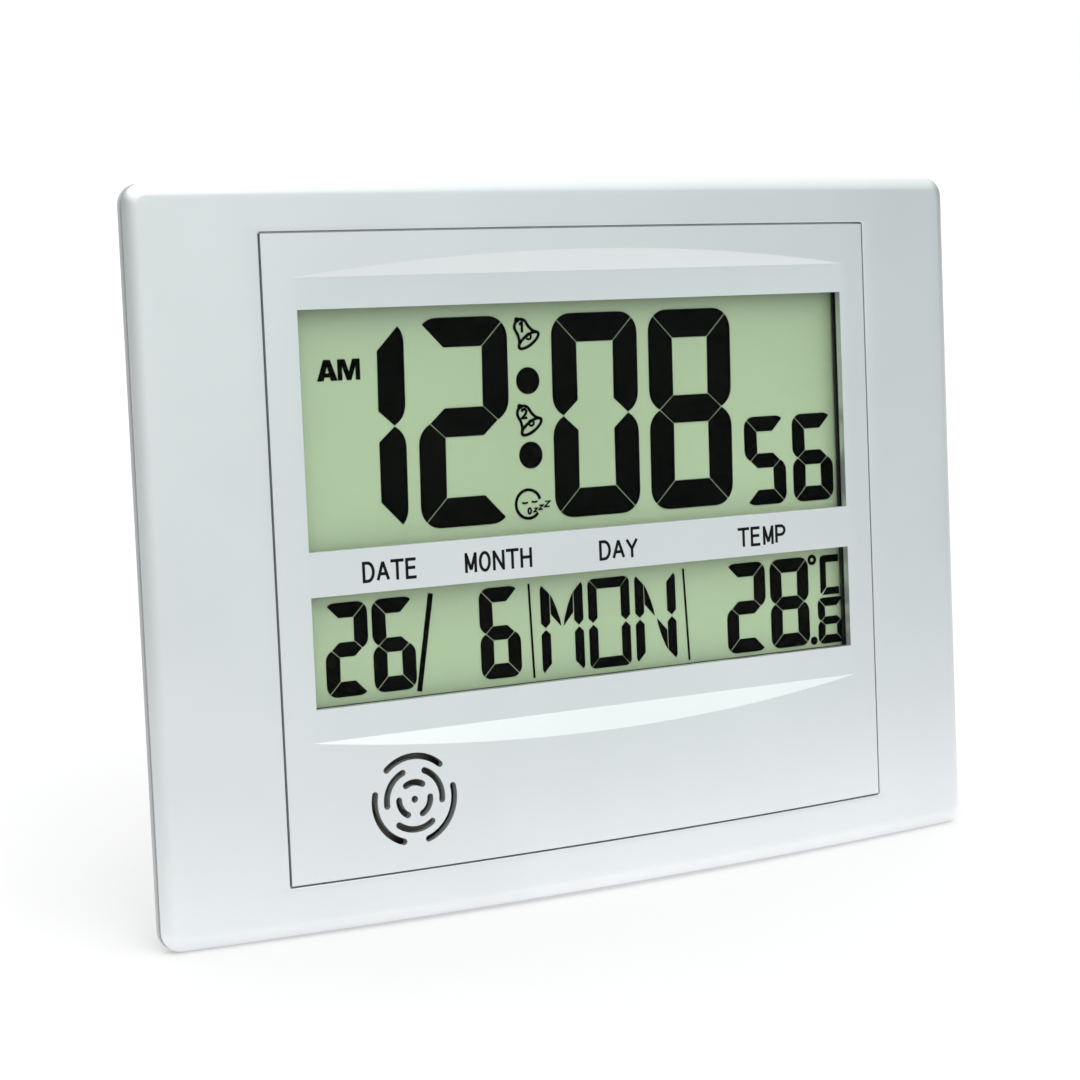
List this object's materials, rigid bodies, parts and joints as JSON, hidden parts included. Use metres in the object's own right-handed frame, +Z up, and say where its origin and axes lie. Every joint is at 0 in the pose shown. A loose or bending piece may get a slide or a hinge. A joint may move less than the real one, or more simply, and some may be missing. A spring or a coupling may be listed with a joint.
{
  "type": "digital alarm clock",
  "caption": "Wide desk alarm clock with a bowed silver front, an inset panel with two LCD windows for time and date, and a fold-out stand leg",
  "frame": {"origin": "centre of the standing clock's footprint box, on the table", "axes": "+X to the right as seen from the front, +Y to the back, +Z up; the front faces -Y and leans back on the open leg"},
  "size_m": [0.26, 0.055, 0.194],
  "materials": {
    "silver_paint": "satin silver paint on moulded plastic",
    "rear_plastic": "fine-grained moulded plastic",
    "black_plastic": "plain moulded",
    "button_grey": "plain moulded",
    "clear_lens": "clear polished sheet",
    "lcd_glass": "thin float glass with polariser",
    "lcd_ink": "dark liquid crystal segments",
    "lcd_green": "grey-green polariser on glass",
    "reflector_film": "satin film",
    "strip_rubber": "layered silicone",
    "board_green": "solder mask",
    "resin_black": "cast resin",
    "component_grey": "sleeved and moulded parts",
    "steel": "zinc or nickel plated",
    "buzzer_brass": "rolled",
    "buzzer_ceramic": "silvered ceramic",
    "lead_red": "insulated wire",
    "lead_black": "insulated wire",
    "cell_sleeve": "printed sleeve on a steel can"
  },
  "bodies": {
    "case": {"front_frame": "silver_paint", "front_panel": "silver_paint", "display_lens": "clear_lens", "lcd_bracket": "black_plastic", "lcd_front_glass": "lcd_glass", "lcd_segments": "lcd_ink", "lcd_rear_glass": "lcd_green", "lcd_reflector": "reflector_film", "contact_strips": "strip_rubber", "main_board": "board_green", "chip_cap": "resin_black", "watch_crystal": "steel", "temperature_sensor": "resin_black", "board_components": "component_grey", "board_screws": "steel", "switch_bodies": "black_plastic", "buzzer_disc": "buzzer_brass", "buzzer_ceramic": "buzzer_ceramic", "buzzer_retainer": "black_plastic", "buzzer_leads": "lead_red", "rear_cover": "rear_plastic", "case_screws": "steel", "battery_cells": "cell_sleeve", "contact_plates": "steel", "battery_springs": "steel", "battery_leads": "lead_black"},
    "mode_key": {"mode_button": "button_grey", "mode_plunger": "black_plastic"},
    "set_key": {"set_button": "button_grey", "set_plunger": "black_plastic"},
    "up_key": {"up_button": "button_grey", "up_plunger": "black_plastic"},
    "down_key": {"down_button": "button_grey", "down_plunger": "black_plastic"},
    "alarm_key": {"alarm_button": "button_grey", "alarm_plunger": "black_plastic"},
    "door": {"battery_door": "rear_plastic"},
    "leg": {"stand_leg": "rear_plastic"}
  },
  "joints": [
    {"name": "leg_hinge", "type": "hinge", "parent": "case", "child": "leg", "pos_m": [0, 0.00931, 0.09798], "axis": [1, 0, 0], "range_deg": [-15, 0]},
    {"name": "door_slide", "type": "slide", "parent": "case", "child": "door", "axis": [1, 0, 0], "range_m": [0, 0.066]},
    {"name": "mode_press", "type": "slide", "parent": "case", "child": "mode_key", "axis": [0, -0.9945, 0.1045], "range_m": [0, 0.0007], "stiffness_N_per_m": 600},
    {"name": "set_press", "type": "slide", "parent": "case", "child": "set_key", "axis": [0, -0.9945, 0.1045], "range_m": [0, 0.0007], "stiffness_N_per_m": 600},
    {"name": "up_press", "type": "slide", "parent": "case", "child": "up_key", "axis": [0, -0.9945, 0.1045], "range_m": [0, 0.0007], "stiffness_N_per_m": 600},
    {"name": "down_press", "type": "slide", "parent": "case", "child": "down_key", "axis": [0, -0.9945, 0.1045], "range_m": [0, 0.0007], "stiffness_N_per_m": 600},
    {"name": "alarm_press", "type": "slide", "parent": "case", "child": "alarm_key", "axis": [0, -0.9945, 0.1045], "range_m": [0, 0.0007], "stiffness_N_per_m": 600}
  ]
}
